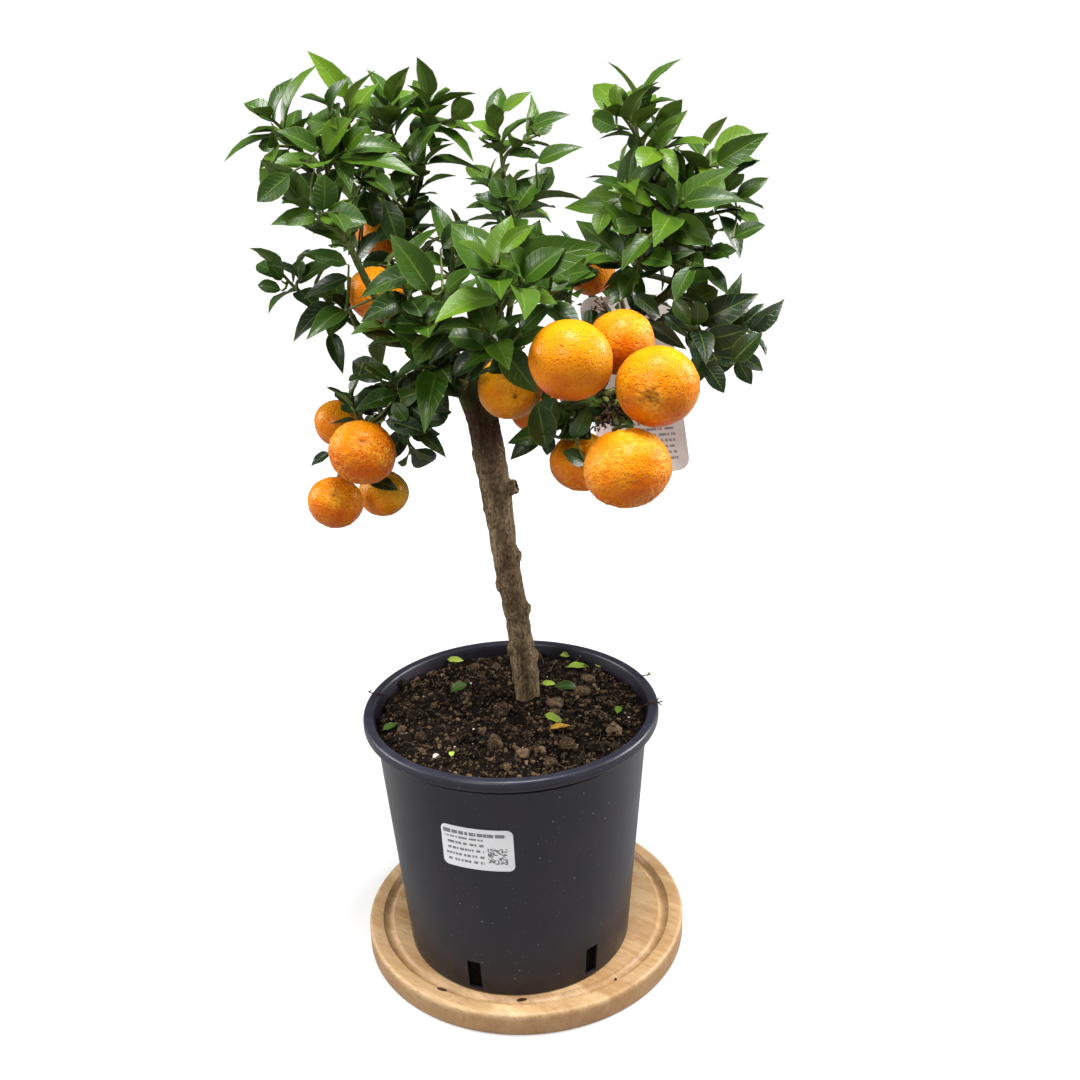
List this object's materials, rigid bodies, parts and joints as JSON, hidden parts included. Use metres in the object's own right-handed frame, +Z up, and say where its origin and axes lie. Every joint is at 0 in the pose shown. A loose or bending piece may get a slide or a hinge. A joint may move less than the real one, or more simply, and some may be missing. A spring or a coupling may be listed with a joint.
{
  "type": "chinotto orange bonsai",
  "caption": "Small citrus standard with a knotty trunk, a two-lobed leafy crown and orange fruit, in a soil-filled nursery pot on a round wooden board.",
  "frame": {"origin": "centre of the board's underside, on the surface the object stands on", "axes": "+Z up along the pot's axis; -Y towards the front of the picture, +X to its right"},
  "size_m": [0.3166, 0.266, 0.6026],
  "materials": {
    "board_wood": "light beech, turned and sanded, lightly oiled",
    "pot_plastic": "charcoal moulded plastic, satin, scuffed and dusty near its foot",
    "label_paper": "white adhesive label, matt",
    "soil": "dark crumbly peat, damp",
    "bark": "grey-brown bark with fine upright cracks",
    "tag_card": "printed plastic card, satin",
    "rind": "pebbled orange rind, waxy",
    "leaf": "glossy leaf with a pale midrib",
    "withered_leaf": "dull drying leaf"
  },
  "bodies": {
    "root": {"board": "board_wood", "pot": "pot_plastic", "pot_label": "label_paper", "soil": "soil", "tree": "bark", "plant_tag": "tag_card", "fruit_01": "rind", "fruit_02": "rind", "fruit_03": "rind", "fruit_04": "rind", "fruit_05": "rind", "fruit_06": "rind", "fruit_07": "rind", "fruit_08": "rind", "fruit_09": "rind", "fruit_10": "rind", "fruit_11": "rind", "fruit_12": "rind", "fruit_13": "rind", "fruit_14": "rind", "spray_left_outer": "leaf", "spray_left_peak": "leaf", "spray_left_back": "leaf", "spray_crown_left": "leaf", "spray_left_front": "leaf", "spray_left_mid": "leaf", "spray_inner_left": "leaf", "spray_side_left": "leaf", "spray_low_left": "leaf", "spray_low_mid": "leaf", "spray_droop_front": "leaf", "spray_droop_end": "leaf", "spray_droop_low": "leaf", "spray_front_left": "leaf", "spray_mid_front": "leaf", "spray_mid_low": "leaf", "spray_rosette": "leaf", "spray_rosette_low": "leaf", "spray_centre_left": "leaf", "spray_centre_top": "leaf", "spray_centre_mid": "leaf", "spray_centre_low": "leaf", "spray_mid_right": "leaf", "spray_gap_leaves": "leaf", "spray_right_top": "leaf", "spray_right_peak": "leaf", "spray_right_left": "leaf", "spray_right_stub": "leaf", "spray_right_far": "leaf", "spray_right_front": "leaf", "spray_right_inner": "leaf", "spray_right_heart": "leaf", "spray_right_low": "leaf", "spray_right_end": "leaf", "spray_under_fruit": "leaf", "spray_rear_left": "leaf", "spray_rear": "leaf", "spray_rear_right": "leaf", "fallen_leaf_1": "withered_leaf", "fallen_leaf_2": "withered_leaf"}
  },
  "joints": []
}
